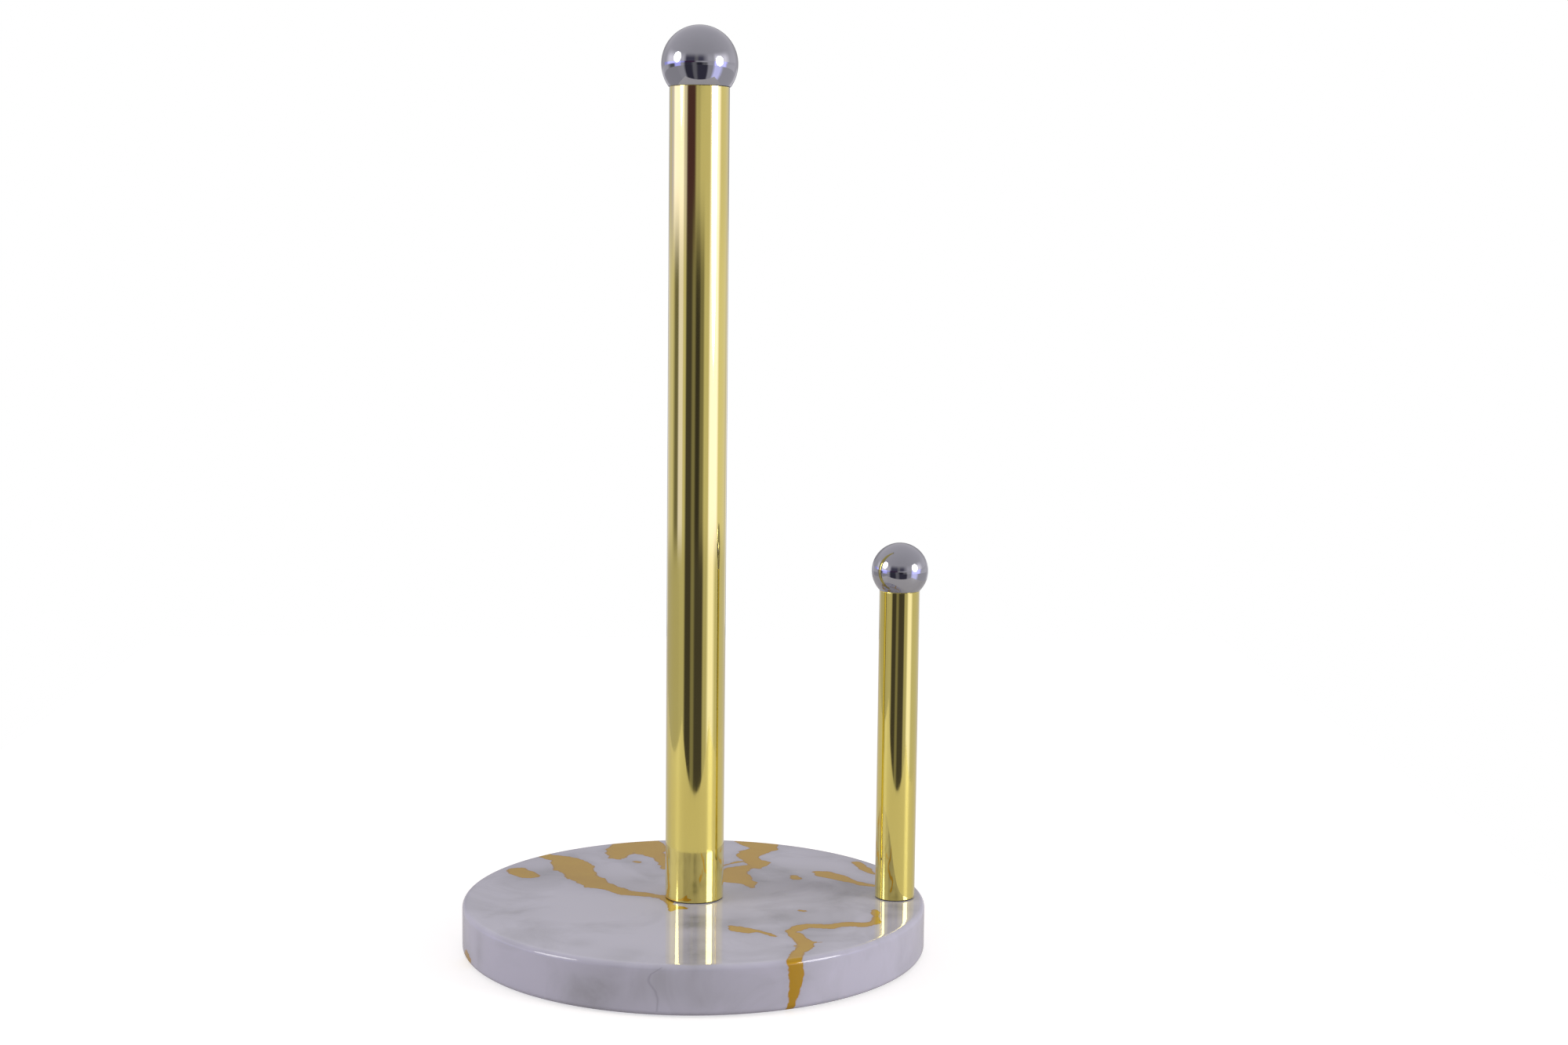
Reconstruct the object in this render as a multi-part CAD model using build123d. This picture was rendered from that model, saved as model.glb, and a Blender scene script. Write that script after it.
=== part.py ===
from build123d import *
import os
from dataclasses import dataclass
from math import sqrt

# Countertop paper towel holder: a round stone base with a tall tube for the roll, and a short
# tube near the rim that keeps the roll from unwinding. A ball screws into the top of each tube.
# Millimetres, +Z up, +X towards the short tube, origin under the base's centre on the worktop.

# Base disc
BASE_DIAMETER = 174.0
BASE_THICKNESS = 18.0
RIM_RADIUS = 2.0  # rounding of the upper and the lower rim
SIDE_POST_INSET = 11.0  # from the base's edge in to the short tube's axis

# Feet, pressed into shallow recesses under the base
FOOT_COUNT = 4
FOOT_DIAMETER = 14.0
FOOT_THICKNESS = 1.4
FOOT_EDGE_RADIUS = 0.3
FOOT_INSET = 21.0  # from the base's edge in to a foot's centre
FOOT_RECESS_DEPTH = 0.8
FIRST_FOOT_ANGLE = 45.0  # degrees from +X, so that no foot meets the short tube's screw

# Small shapes that both posts share
TUBE_EDGE_RADIUS = 0.25
GASKET_THICKNESS = 0.3
GASKET_INSET = 0.3  # on the radius, inside the tube's outer face
PLUG_SETBACK = 0.3  # keeps the lower plug off the gasket, so that the tube's rim bears on it
PLUG_CHAMFER = 0.6
STUD_CHAMFER = 0.6
DRILL_ROOM = 0.5  # beyond the stud's end in the ball's blind hole
HEAD_DEPTH = 0.6  # screw head below the base's underside
WASHER_SLIT = 1.0
WASHER_SLIT_ANGLE = 30.0
CROSS_TAPER = 8.0

# Clearances, all on the radius
FOOT_CLEARANCE = 0.2  # foot in its recess
PLUG_CLEARANCE = 0.05  # plug in its tube
THREAD_CLEARANCE = 0.05  # fixed thread in its tapped hole
TURNING_CLEARANCE = 0.1  # ball's stud in the upper plug
SPIGOT_CLEARANCE = 0.3  # ball's spigot in the tube
WASHER_CLEARANCE = 0.2  # washer round a screw or a stud
SCREW_HOLE_CLEARANCE = 0.4  # screw through the base
COUNTERBORE_CLEARANCE = 1.0  # washer in the base's counterbore


@dataclass
class Post:
    """One upright tube with its ball, plugs and fasteners."""

    name: str
    axis_x: float
    tube_diameter: float
    tube_wall: float
    tube_height: float  # from the base's top face to the tube's upper rim
    ball_diameter: float
    ball_overhang: float  # beyond the tube's outer face, on the radius
    spigot_length: float
    stud_diameter: float
    stud_pitch: float
    stud_turns: int  # turns of thread held by the upper plug
    stud_in_ball: float
    ball_washer_width: float
    ball_washer_thickness: float
    top_plug_length: float
    foot_plug_length: float
    screw_diameter: float
    screw_engagement: float
    head_diameter: float
    head_height: float
    head_edge_radius: float
    cross_span: float
    cross_width: float
    cross_depth: float
    screw_washer_diameter: float
    screw_washer_thickness: float
    lock_washer_width: float
    lock_washer_thickness: float

    @property
    def bore(self):
        return self.tube_diameter - 2 * self.tube_wall

    @property
    def foot(self):
        """Height of the tube's lower rim."""
        return BASE_TOP + GASKET_THICKNESS

    @property
    def rim(self):
        """Height of the tube's upper rim, where the ball sits."""
        return BASE_TOP + self.tube_height

    @property
    def ball_centre(self):
        """The ball is cut flat where its section is as wide as its seat on the tube's rim."""
        seat_radius = self.tube_diameter / 2 + self.ball_overhang
        return self.rim + sqrt((self.ball_diameter / 2) ** 2 - seat_radius ** 2)

    @property
    def spigot_end(self):
        return self.rim - self.spigot_length

    @property
    def top_plug_face(self):
        return self.spigot_end - self.ball_washer_thickness

    @property
    def stud_end(self):
        return self.top_plug_face - self.stud_pitch * self.stud_turns

    @property
    def head_face(self):
        """Height of the screw head's underside, which is its visible face."""
        return BASE_BOTTOM + HEAD_DEPTH

    @property
    def lock_washer_bottom(self):
        return self.head_face + self.head_height

    @property
    def screw_washer_bottom(self):
        return self.lock_washer_bottom + self.lock_washer_thickness

    @property
    def counterbore_floor(self):
        return self.screw_washer_bottom + self.screw_washer_thickness


BASE_BOTTOM = FOOT_THICKNESS - FOOT_RECESS_DEPTH
BASE_TOP = BASE_BOTTOM + BASE_THICKNESS

ROLL_POST = Post(
    name="roll_post",
    axis_x=0.0,
    tube_diameter=22.0,
    tube_wall=1.0,
    tube_height=302.0,
    ball_diameter=28.0,
    ball_overhang=0.35,
    spigot_length=3.0,
    stud_diameter=8.0,
    stud_pitch=1.25,
    stud_turns=8,
    stud_in_ball=12.0,
    ball_washer_width=3.0,
    ball_washer_thickness=2.0,
    top_plug_length=14.0,
    foot_plug_length=16.0,
    screw_diameter=6.0,
    screw_engagement=12.0,
    head_diameter=12.0,
    head_height=4.0,
    head_edge_radius=1.6,
    cross_span=6.0,
    cross_width=1.4,
    cross_depth=2.4,
    screw_washer_diameter=16.0,
    screw_washer_thickness=1.6,
    lock_washer_width=2.5,
    lock_washer_thickness=1.6,
)
SIDE_POST = Post(
    name="side_post",
    axis_x=BASE_DIAMETER / 2 - SIDE_POST_INSET,
    tube_diameter=15.0,
    tube_wall=1.0,
    tube_height=117.5,
    ball_diameter=21.0,
    ball_overhang=0.0,
    spigot_length=2.5,
    stud_diameter=6.0,
    stud_pitch=1.0,
    stud_turns=8,
    stud_in_ball=9.0,
    ball_washer_width=2.4,
    ball_washer_thickness=1.6,
    top_plug_length=12.0,
    foot_plug_length=13.0,
    screw_diameter=5.0,
    screw_engagement=10.0,
    head_diameter=9.5,
    head_height=3.4,
    head_edge_radius=1.3,
    cross_span=5.0,
    cross_width=1.2,
    cross_depth=2.0,
    screw_washer_diameter=10.0,
    screw_washer_thickness=1.0,
    lock_washer_width=1.9,
    lock_washer_thickness=1.2,
)
POSTS = (ROLL_POST, SIDE_POST)


def upright(diameter, bottom, top):
    """Solid cylinder round the Z axis between two heights."""
    standing = (Align.CENTER, Align.CENTER, Align.MIN)
    return Pos(0, 0, bottom) * Cylinder(diameter / 2, top - bottom, align=standing)


def ring(outer, inner, bottom, top):
    return upright(outer, bottom, top) - upright(inner, bottom, top)


def round_edges(solid):
    return solid.edges().filter_by(GeomType.CIRCLE)


def split_washer(inner, width, bottom, thickness):
    """Spring washer, drawn flat as it lies when tightened, with its slanted slit towards +X."""
    outer = inner + 2 * width
    washer = ring(outer, inner, bottom, bottom + thickness)
    # longer than the washer is wide and thick, so that it cuts right through one side
    slit = Box(2 * width, WASHER_SLIT, 4 * thickness)
    slit_place = Pos((inner + width) / 2, 0, bottom + thickness / 2)
    return washer - slit_place * Rot(WASHER_SLIT_ANGLE, 0, 0) * slit


def foot_places():
    return PolarLocations(BASE_DIAMETER / 2 - FOOT_INSET, FOOT_COUNT, FIRST_FOOT_ANGLE)


def base_disc():
    disc = upright(BASE_DIAMETER, BASE_BOTTOM, BASE_TOP)
    disc = fillet(round_edges(disc), RIM_RADIUS)
    recess_diameter = FOOT_DIAMETER + 2 * FOOT_CLEARANCE
    recess = upright(recess_diameter, BASE_BOTTOM, BASE_BOTTOM + FOOT_RECESS_DEPTH)
    for place in foot_places():
        disc -= place * recess
    for post in POSTS:
        hole_diameter = post.screw_diameter + 2 * SCREW_HOLE_CLEARANCE
        counterbore_diameter = post.screw_washer_diameter + 2 * COUNTERBORE_CLEARANCE
        hole = upright(hole_diameter, BASE_BOTTOM, BASE_TOP)
        hole += upright(counterbore_diameter, BASE_BOTTOM, post.counterbore_floor)
        disc -= Pos(post.axis_x, 0, 0) * hole
    return disc


def base_feet():
    foot = upright(FOOT_DIAMETER, 0, FOOT_THICKNESS)
    foot = fillet(round_edges(foot).group_by(Axis.Z)[0], FOOT_EDGE_RADIUS)
    return Compound(children=[place * foot for place in foot_places()])


def tube(post):
    body = upright(post.tube_diameter, post.foot, post.rim)
    body = fillet(round_edges(body), TUBE_EDGE_RADIUS)
    return body - upright(post.bore, post.foot, post.rim)


def gasket(post):
    outer = post.tube_diameter - 2 * GASKET_INSET
    inner = post.screw_diameter + 2 * WASHER_CLEARANCE
    return ring(outer, inner, BASE_TOP, post.foot)


def tapped_plug(post, hole_diameter, bottom, top):
    body = upright(post.bore - 2 * PLUG_CLEARANCE, bottom, top)
    body = chamfer(round_edges(body), PLUG_CHAMFER)
    return body - upright(hole_diameter, bottom, top)


def foot_plug(post):
    bottom = post.foot + PLUG_SETBACK
    hole_diameter = post.screw_diameter + 2 * THREAD_CLEARANCE
    return tapped_plug(post, hole_diameter, bottom, bottom + post.foot_plug_length)


def top_plug(post):
    hole_diameter = post.stud_diameter + 2 * TURNING_CLEARANCE
    bottom = post.top_plug_face - post.top_plug_length
    return tapped_plug(post, hole_diameter, bottom, post.top_plug_face)


def screw(post):
    """Pan head screw with a cross recess; its thread is a plain shank of the thread's diameter."""
    head = upright(post.head_diameter, post.head_face, post.lock_washer_bottom)
    head = fillet(round_edges(head).group_by(Axis.Z)[0], post.head_edge_radius)
    cross = Rectangle(post.cross_span, post.cross_width) + Rectangle(post.cross_width, post.cross_span)
    head -= Pos(0, 0, post.head_face) * extrude(cross, amount=post.cross_depth, taper=CROSS_TAPER)
    tip = post.foot + PLUG_SETBACK + post.screw_engagement
    shank = upright(post.screw_diameter, post.lock_washer_bottom, tip)
    shank = chamfer(round_edges(shank).group_by(Axis.Z)[-1], STUD_CHAMFER)
    return head + shank


def screw_washer(post):
    inner = post.screw_diameter + 2 * WASHER_CLEARANCE
    return ring(post.screw_washer_diameter, inner, post.screw_washer_bottom, post.counterbore_floor)


def screw_lock_washer(post):
    inner = post.screw_diameter + 2 * WASHER_CLEARANCE
    return split_washer(inner, post.lock_washer_width, post.lock_washer_bottom, post.lock_washer_thickness)


def ball(post):
    radius = post.ball_diameter / 2
    body = Pos(0, 0, post.ball_centre) * Sphere(radius)
    body -= upright(2 * post.ball_diameter, post.rim - post.ball_diameter, post.rim)
    body += upright(post.bore - 2 * SPIGOT_CLEARANCE, post.spigot_end, post.rim)
    hole_diameter = post.stud_diameter + 2 * THREAD_CLEARANCE
    return body - upright(hole_diameter, post.spigot_end, post.rim + post.stud_in_ball + DRILL_ROOM)


def ball_stud(post):
    """Threaded stud fixed in the ball, drawn as a plain rod of the thread's diameter."""
    rod = upright(post.stud_diameter, post.stud_end, post.rim + post.stud_in_ball)
    return chamfer(round_edges(rod), STUD_CHAMFER)


def ball_lock_washer(post):
    inner = post.stud_diameter + 2 * WASHER_CLEARANCE
    return split_washer(inner, post.ball_washer_width, post.top_plug_face, post.ball_washer_thickness)


POST_PIECES = {
    "gasket": gasket,
    "tube": tube,
    "foot_plug": foot_plug,
    "screw": screw,
    "screw_washer": screw_washer,
    "screw_lock_washer": screw_lock_washer,
    "top_plug": top_plug,
    "ball": ball,
    "ball_stud": ball_stud,
    "ball_lock_washer": ball_lock_washer,
}

nodes = {"base_disc": base_disc(), "base_feet": base_feet()}
for post in POSTS:
    for piece_name, make_piece in POST_PIECES.items():
        nodes[f"{post.name}_{piece_name}"] = Pos(post.axis_x, 0, 0) * make_piece(post)

os.makedirs("parts", exist_ok=True)
for node_name, shape in nodes.items():
    export_step(shape, f"parts/{node_name}.step")
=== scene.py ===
from math import ceil, cos, dist, pi, radians, sin
import bpy
import numpy as np
from mathutils import Matrix, Vector


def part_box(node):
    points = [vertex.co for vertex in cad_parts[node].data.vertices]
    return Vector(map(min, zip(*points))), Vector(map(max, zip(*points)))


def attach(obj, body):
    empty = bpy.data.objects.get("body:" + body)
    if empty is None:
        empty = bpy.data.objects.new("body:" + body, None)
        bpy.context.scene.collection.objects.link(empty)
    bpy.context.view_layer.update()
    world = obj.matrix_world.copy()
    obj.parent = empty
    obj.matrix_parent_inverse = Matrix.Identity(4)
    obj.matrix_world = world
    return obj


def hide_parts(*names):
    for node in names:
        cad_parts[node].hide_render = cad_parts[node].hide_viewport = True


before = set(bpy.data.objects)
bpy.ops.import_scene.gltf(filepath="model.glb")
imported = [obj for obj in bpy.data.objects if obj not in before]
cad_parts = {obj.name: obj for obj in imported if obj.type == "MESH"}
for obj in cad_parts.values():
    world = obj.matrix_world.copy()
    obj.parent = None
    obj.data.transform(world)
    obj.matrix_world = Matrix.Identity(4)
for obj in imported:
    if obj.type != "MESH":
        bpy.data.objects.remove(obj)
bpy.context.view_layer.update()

# Base disc
# A slab of polished white marble, turned round, with eased rims and bores for screws and feet in
# its underside. Grey clouds and painted gold veins run over its top and down its side, under a
# poured clear gloss lacquer. Clouds in front of the roll tube are a painted reflection of it, and
# the side is painted darker as painted shade.
MM = 0.001
RIM_RADIUS = 2.0 * MM
RIM_STEPS = 10
PATTERN_SPACING = 1.2 * MM  # between mesh rings where the pattern shows
PLAIN_SPACING = 8.0 * MM  # between mesh rings on the underside and in the bores
BASE_SEGMENTS = 360
CUTTER_SEGMENTS = 96
CUTTER_OVERRUN = 1.0 * MM
SCREW_HOLE_RADIUS = {"roll_post": 3.4 * MM, "side_post": 2.9 * MM}
COUNTERBORE_CLEARANCE = 1.0 * MM
FOOT_RECESS_RADIUS = 7.2 * MM
FOOT_RECESS_DEPTH = 0.8 * MM
FOOT_CIRCLE = 66.0 * MM  # radius that the feet's centres lie on
FOOT_ANGLES = (45, 135, 225, 315)
SHARP_EDGE = radians(30)
base_low, base_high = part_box("base_disc")
base_radius = base_high.x
base_top = base_high.z
base_bottom = base_low.z
flat_radius = base_radius - RIM_RADIUS
upper_rim = base_top - RIM_RADIUS
lower_rim = base_bottom + RIM_RADIUS


def straight(start, end, spacing):
    """Even points from start towards end, without the end itself."""
    steps = max(1, ceil(dist(start, end) / spacing))
    across, up = end[0] - start[0], end[1] - start[1]
    along = [step / steps for step in range(steps)]
    return [(start[0] + across * t, start[1] + up * t) for t in along]


def rounded(centre, radius, first_angle, last_angle, steps):
    """Points of an arc from one angle to another, without the last one."""
    turn = (last_angle - first_angle) / steps
    angles = [radians(first_angle + turn * step) for step in range(steps)]
    return [(centre[0] + radius * cos(angle), centre[1] + radius * sin(angle)) for angle in angles]


def new_object(name, corners, faces):
    """Mesh object in the scene, made from its corners and faces."""
    mesh = bpy.data.meshes.new(name)
    mesh.from_pydata(corners, [], faces)
    mesh.update()
    obj = bpy.data.objects.new(name, mesh)
    bpy.context.scene.collection.objects.link(obj)
    return obj


def turned(name, outline, segments, axis=(0.0, 0.0), closed=False):
    """Solid turned round an upright axis from (radius, height) points that go up its outside.
    A closed outline goes round a ring's section; an open one ends in two flat faces."""
    turns = [2 * pi * step / segments for step in range(segments)]
    corners = [(axis[0] + r * cos(turn), axis[1] + r * sin(turn), z)
               for r, z in outline for turn in turns]
    rings = len(outline)
    faces = []
    for ring in range(rings if closed else rings - 1):
        here = ring * segments
        there = (ring + 1) % rings * segments
        for step in range(segments):
            ahead = (step + 1) % segments
            faces.append((here + step, here + ahead, there + ahead, there + step))
    if not closed:
        faces.append(tuple(reversed(range(segments))))
        faces.append(tuple(range((rings - 1) * segments, rings * segments)))
    return new_object(name, corners, faces)


def screw_bore(post):
    """Axis, hole radius, counterbore radius and counterbore floor under one post."""
    low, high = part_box(post + "_screw_washer")
    axis_x = (low.x + high.x) / 2
    counterbore = (high.x - low.x) / 2 + COUNTERBORE_CLEARANCE
    return axis_x, SCREW_HOLE_RADIUS[post], counterbore, high.z


_, hole, counterbore, floor = screw_bore("roll_post")
outline = straight((counterbore, base_bottom), (flat_radius, base_bottom), PLAIN_SPACING)
outline += rounded((flat_radius, lower_rim), RIM_RADIUS, -90, 0, RIM_STEPS)
outline += straight((base_radius, lower_rim), (base_radius, upper_rim), PATTERN_SPACING)
outline += rounded((flat_radius, upper_rim), RIM_RADIUS, 0, 90, RIM_STEPS)
outline += straight((flat_radius, base_top), (hole, base_top), PATTERN_SPACING)
outline += straight((hole, base_top), (hole, floor), PLAIN_SPACING)
outline += straight((hole, floor), (counterbore, floor), PLAIN_SPACING)
outline += straight((counterbore, floor), (counterbore, base_bottom), PLAIN_SPACING)
marble_base = turned("marble_base", outline, BASE_SEGMENTS, closed=True)

axis_x, hole, counterbore, floor = screw_bore("side_post")
cut_bottom = base_bottom - CUTTER_OVERRUN
cut_top = base_top + CUTTER_OVERRUN
bore = [(counterbore, cut_bottom), (counterbore, floor), (hole, floor), (hole, cut_top)]
recess_roof = base_bottom + FOOT_RECESS_DEPTH
recess = [(FOOT_RECESS_RADIUS, cut_bottom), (FOOT_RECESS_RADIUS, recess_roof)]
cutters = [turned("side_bore", bore, CUTTER_SEGMENTS, (axis_x, 0.0))]
for angle in FOOT_ANGLES:
    foot_axis = (FOOT_CIRCLE * cos(radians(angle)), FOOT_CIRCLE * sin(radians(angle)))
    cutters.append(turned("foot_recess", recess, CUTTER_SEGMENTS, foot_axis))
for cutter in cutters:
    cut = marble_base.modifiers.new(cutter.name, "BOOLEAN")
    cut.operation = "DIFFERENCE"
    cut.solver = "MANIFOLD"
    cut.object = cutter
bored = marble_base.evaluated_get(bpy.context.evaluated_depsgraph_get())
marble_base.data = bpy.data.meshes.new_from_object(bored)
marble_base.data.materials.clear()
marble_base.modifiers.clear()
for cutter in cutters:
    bpy.data.objects.remove(cutter)
marble_base.data.shade_smooth()
marble_base.data.set_sharp_from_angle(angle=SHARP_EDGE)

# The gold veins: chains of (x, y, half width) in millimetres, +Y away from the front. The pattern
# wraps over the rim, so a point further out than the flat face lies that much down the side.
GOLD_VEINS = [
    [(-69.5, 36.5, 4.2), (-65, 29.5, 4.6)],
    [(-66, 70, 1), (-62.5, 63, 2.4), (-59, 58.5, 3), (-53, 54, 5), (-50, 48, 7.4), (-47.5, 41, 8.2),
     (-45.5, 34, 6.4), (-43.5, 28, 6.2), (-40, 22, 6), (-37, 16, 5), (-33, 12.5, 3.6),
     (-29, 8.5, 3.9), (-25.8, 5, 3.8), (-21, 3, 3), (-16, 1.5, 2.4), (-11.5, -1, 2.3),
     (-10.2, -5, 1.9), (-8.8, -9.5, 1.8)],
    [(-50, 42, 4), (-54, 38, 2.4)],
    [(-43, 27, 4), (-48, 25.5, 1.8)],
    [(-38, 17, 3), (-40, 13.5, 2)],
    [(-9.4, -9, 1.6), (-8.2, -14, 1.5), (-8.4, -20, 0.7)],
    [(-8, -13, 1.4), (-5.2, -15.5, 2.2), (-3.2, -16.5, 1.2)],
    [(-27, 103, 1.2), (-26, 95, 2.6), (-28, 83, 3.4), (-27, 76, 6.6), (-29.5, 70, 6.2),
     (-30.3, 64, 5.6), (-31.3, 58, 3.8), (-30.6, 54.3, 1.4)],
    [(-18, 103, 1.5), (-19, 95, 4), (-21, 83, 6.6), (-19, 75, 7.4), (-18.5, 67.5, 7),
     (-16.5, 62, 4.6), (-14.2, 57, 2.8), (-12.8, 50, 2), (-11.8, 40, 1.2)],
    [(-24, 50.6, 1.4), (-22.4, 50, 1.7)],
    [(26, 104, 1), (23, 96, 3), (22.5, 84, 6.2), (27.5, 77, 7.2), (28.2, 71, 5.8),
     (23.4, 64.5, 5.4), (21.3, 60, 4.7), (22.6, 54.5, 3.9), (25.5, 48, 4.7), (24.6, 44, 3.2),
     (25.8, 40.5, 1)],
    [(10, 43.5, 1.1), (18, 50.5, 1.3)],
    [(21, 44, 2), (16.5, 37, 5.2), (14.5, 31, 6.6), (16, 25, 6.8), (21, 19.5, 3.3), (22.3, 13, 1)],
    [(38.8, 28.4, 1.8), (39.4, 25.6, 2.1)],
    [(48.2, 35, 2), (51, 32, 4), (55, 28.3, 3.9), (58.5, 24.3, 2.8), (62, 20, 2.1), (66, 16.5, 1.8),
     (70, 14, 1.2)],
    [(64.8, 48.5, 2.1), (66.5, 43, 2.5), (68.5, 38, 1.9), (70.5, 32, 1.2)],
    [(39.4, -19.4, 1.3), (41, -19.8, 1.3)],
    [(13.2, -39.8, 1.5), (15.5, -42.6, 3.3), (19, -45.2, 3.3), (22.4, -45.6, 2.1), (25, -47.5, 1.3),
     (29, -52, 0.8)],
    [(67.2, -19, 1.3), (67, -31, 1.5), (66, -35, 2.2), (62, -37.8, 3), (57, -37, 3), (52, -38, 2.9),
     (47.5, -40, 2.9), (42, -38.6, 2.7), (37, -42, 2.5), (34.8, -47, 2.3), (37.3, -53, 2.7),
     (39.6, -59, 3), (39.4, -64, 2.9), (37, -70, 2.3), (35.8, -75, 2.5), (34.9, -79.1, 3.1),
     (37, -83.2, 3.1), (38.2, -87.1, 2.7), (39, -91.1, 2.1), (39.8, -95, 1.5), (40.4, -98, 1.3)],
    [(40, -60, 2), (45.5, -58.8, 0.6)],
    [(38.5, -63, 2), (34.6, -64.4, 0.6)],
    [(-101, -23.5, 1.6), (-97.5, -30.5, 3.2), (-95.2, -36, 1)],
]
# Soft grey clouds: (x, y, radius, darkness), laid out like the veins. The line of them at x near 0,
# in front of the roll tube, is a painted reflection of the tube's dark middle.
CLOUDS_AND_PAINTED_REFLECTION = [
    (-58, 34, 7, 0.5), (-47, 62, 8, 0.3), (30, 40, 8, 0.4), (44, 36, 10, 0.3), (32, 20, 12, 0.4),
    (46, 16, 12, 0.25), (22, 6, 12, 0.5), (-20, 22, 9, 0.25), (-1, -27, 5, 0.8), (-1, -37, 6, 0.9),
    (0, -58, 6, 0.45), (0, -68, 6, 0.6), (0, -78, 7, 0.6), (16, -30, 9, 0.4), (32, -28, 8, 0.35),
    (60, -2, 10, 0.3), (76, -14, 5, 0.5), (74, -26, 5, 0.5), (-40, -60, 5, 0.4),
    (-22, -75, 10, 0.45), (-66, -22, 10, 0.25), (44, -50, 8, 0.25), (60, -56, 9, 0.2),
    (-46, -84, 8, 0.25), (-38, -88, 8, 0.35), (-30, -91, 8, 0.4), (-22, -92, 8, 0.4),
    (-14, -93, 7, 0.55), (-13, -88, 4, 0.3), (0, -95, 9, 0.2), (14, -95, 9, 0.2), (27, -92, 8, 0.2),
    (-80, -41, 4, 0.35), (-86, -44, 4, 0.45), (62, 66, 14, 0.45), (-70, 62, 12, 0.5),
    (2, 96, 14, 0.6),
]
# The stone is this much greyer along the veins' edges, within this reach in millimetres.
VEIN_HALO = 0.2
VEIN_HALO_REACH = 3.0
# A hairline in the stone down the front of the side: (x, y) along its line
HAIRLINE = [(-10.5, -86), (-15.6, -88.3), (-16.5, -90.7), (-14.6, -94), (-13.7, -97.2),
            (-14.8, -101.6)]
FAR_AWAY = 50.0  # millimetres, for corners that no vein or hairline comes near


def pattern_places(mesh):
    """Each corner's place on the flattened pattern in millimetres, and whether it has one."""
    corners = np.empty(len(mesh.vertices) * 3)
    mesh.vertices.foreach_get("co", corners)
    x, y, z = corners.reshape(-1, 3).T
    radius = np.hypot(x, y)
    over_rim = np.arctan2(radius - flat_radius, np.maximum(z - upper_rim, 0))
    over_rim = RIM_RADIUS * np.clip(over_rim, 0, pi / 2)
    down = np.maximum(upper_rim - z, 0)
    flattened = np.where(radius < flat_radius, radius, flat_radius + over_rim + down)
    spread = flattened / np.maximum(radius, MM)
    patterned = (z > upper_rim) | (radius > flat_radius)
    return x * spread / MM, y * spread / MM, patterned


def chain_distance(x, y, chain):
    """Distance from a chain of tapered strokes, negative inside them."""
    nearest = np.full(len(x), FAR_AWAY)
    for (x0, y0, half0), (x1, y1, half1) in zip(chain, chain[1:]):
        reach = (x1 - x0) ** 2 + (y1 - y0) ** 2
        along = ((x - x0) * (x1 - x0) + (y - y0) * (y1 - y0)) / reach
        along = np.clip(along, 0, 1)
        away = np.hypot(x - x0 - along * (x1 - x0), y - y0 - along * (y1 - y0))
        nearest = np.minimum(nearest, away - half0 - along * (half1 - half0))
    return nearest


def give_corners(mesh, name, values):
    """Keeps one number per corner, for the material to read."""
    attribute = mesh.attributes.new(name, "FLOAT", "POINT")
    attribute.data.foreach_set("value", values.astype(np.float32))


pattern_x, pattern_y, patterned = pattern_places(marble_base.data)
vein_distance = np.full(len(pattern_x), FAR_AWAY)
for chain in GOLD_VEINS:
    vein_distance = np.minimum(vein_distance, chain_distance(pattern_x, pattern_y, chain))
clouds_and_reflection = np.zeros(len(pattern_x))
for x, y, reach, darkness in CLOUDS_AND_PAINTED_REFLECTION:
    clouds_and_reflection += darkness * np.exp(-((pattern_x - x) ** 2 + (pattern_y - y) ** 2) / reach ** 2)
clouds_and_reflection += VEIN_HALO * np.exp(-(np.maximum(vein_distance, 0) / VEIN_HALO_REACH) ** 2)
# Painted shade: the stone and the veins are darker down the side, and change on the way over the
# rim.
past_flat = np.hypot(pattern_x, pattern_y) - flat_radius / MM
side_shade_share = np.clip(past_flat / (RIM_RADIUS / MM), 0, 1)
line_y = np.array([-y for x, y in HAIRLINE])
line_x = np.interp(-pattern_y, line_y, [x for x, y in HAIRLINE])
beside_line = (-pattern_y > line_y[0]) & (-pattern_y < line_y[-1])
line_offset = np.where(beside_line, pattern_x - line_x, FAR_AWAY)
give_corners(marble_base.data, "vein_distance", np.where(patterned, vein_distance, FAR_AWAY))
give_corners(marble_base.data, "clouds_and_painted_reflection", np.where(patterned, clouds_and_reflection, 0))
give_corners(marble_base.data, "hairline_offset", np.where(patterned, line_offset, FAR_AWAY))
give_corners(marble_base.data, "painted_side_shade", side_shade_share)


def linear(hex_colour):
    """Linear RGBA of an sRGB hex colour."""
    shares = [int(hex_colour[place:place + 2], 16) / 255 for place in (1, 3, 5)]
    return [s / 12.92 if s <= 0.04045 else ((s + 0.055) / 1.055) ** 2.4 for s in shares] + [1.0]


def add_node(tree, kind, inputs=None, **settings):
    """Adds a node with its settings, and gives each named input a value or a link."""
    node = tree.nodes.new(kind)
    for setting, value in settings.items():
        setattr(node, setting, value)
    for socket, value in (inputs or {}).items():
        if isinstance(value, bpy.types.NodeSocket):
            tree.links.new(value, node.inputs[socket])
        else:
            node.inputs[socket].default_value = value
    return node


def new_material(name):
    """Material with an empty node tree."""
    material = bpy.data.materials.new(name)
    material.use_nodes = True
    material.node_tree.nodes.clear()
    return material, material.node_tree


# Sockets of a Mix node that mixes colours
COLOUR_A, COLOUR_B, MIXED_COLOUR = 6, 7, 2

# Lacquered marble: cool white stone with grey clouds, a few of them a painted reflection of the
# roll tube, and painted darker down the side as painted shade. The veins are matt gold paint, and
# the lacquer over both is clear and mirror-smooth, with the faint long waves of a poured coat.
MARBLE_WHITE = "#BDBBC5"
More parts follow.
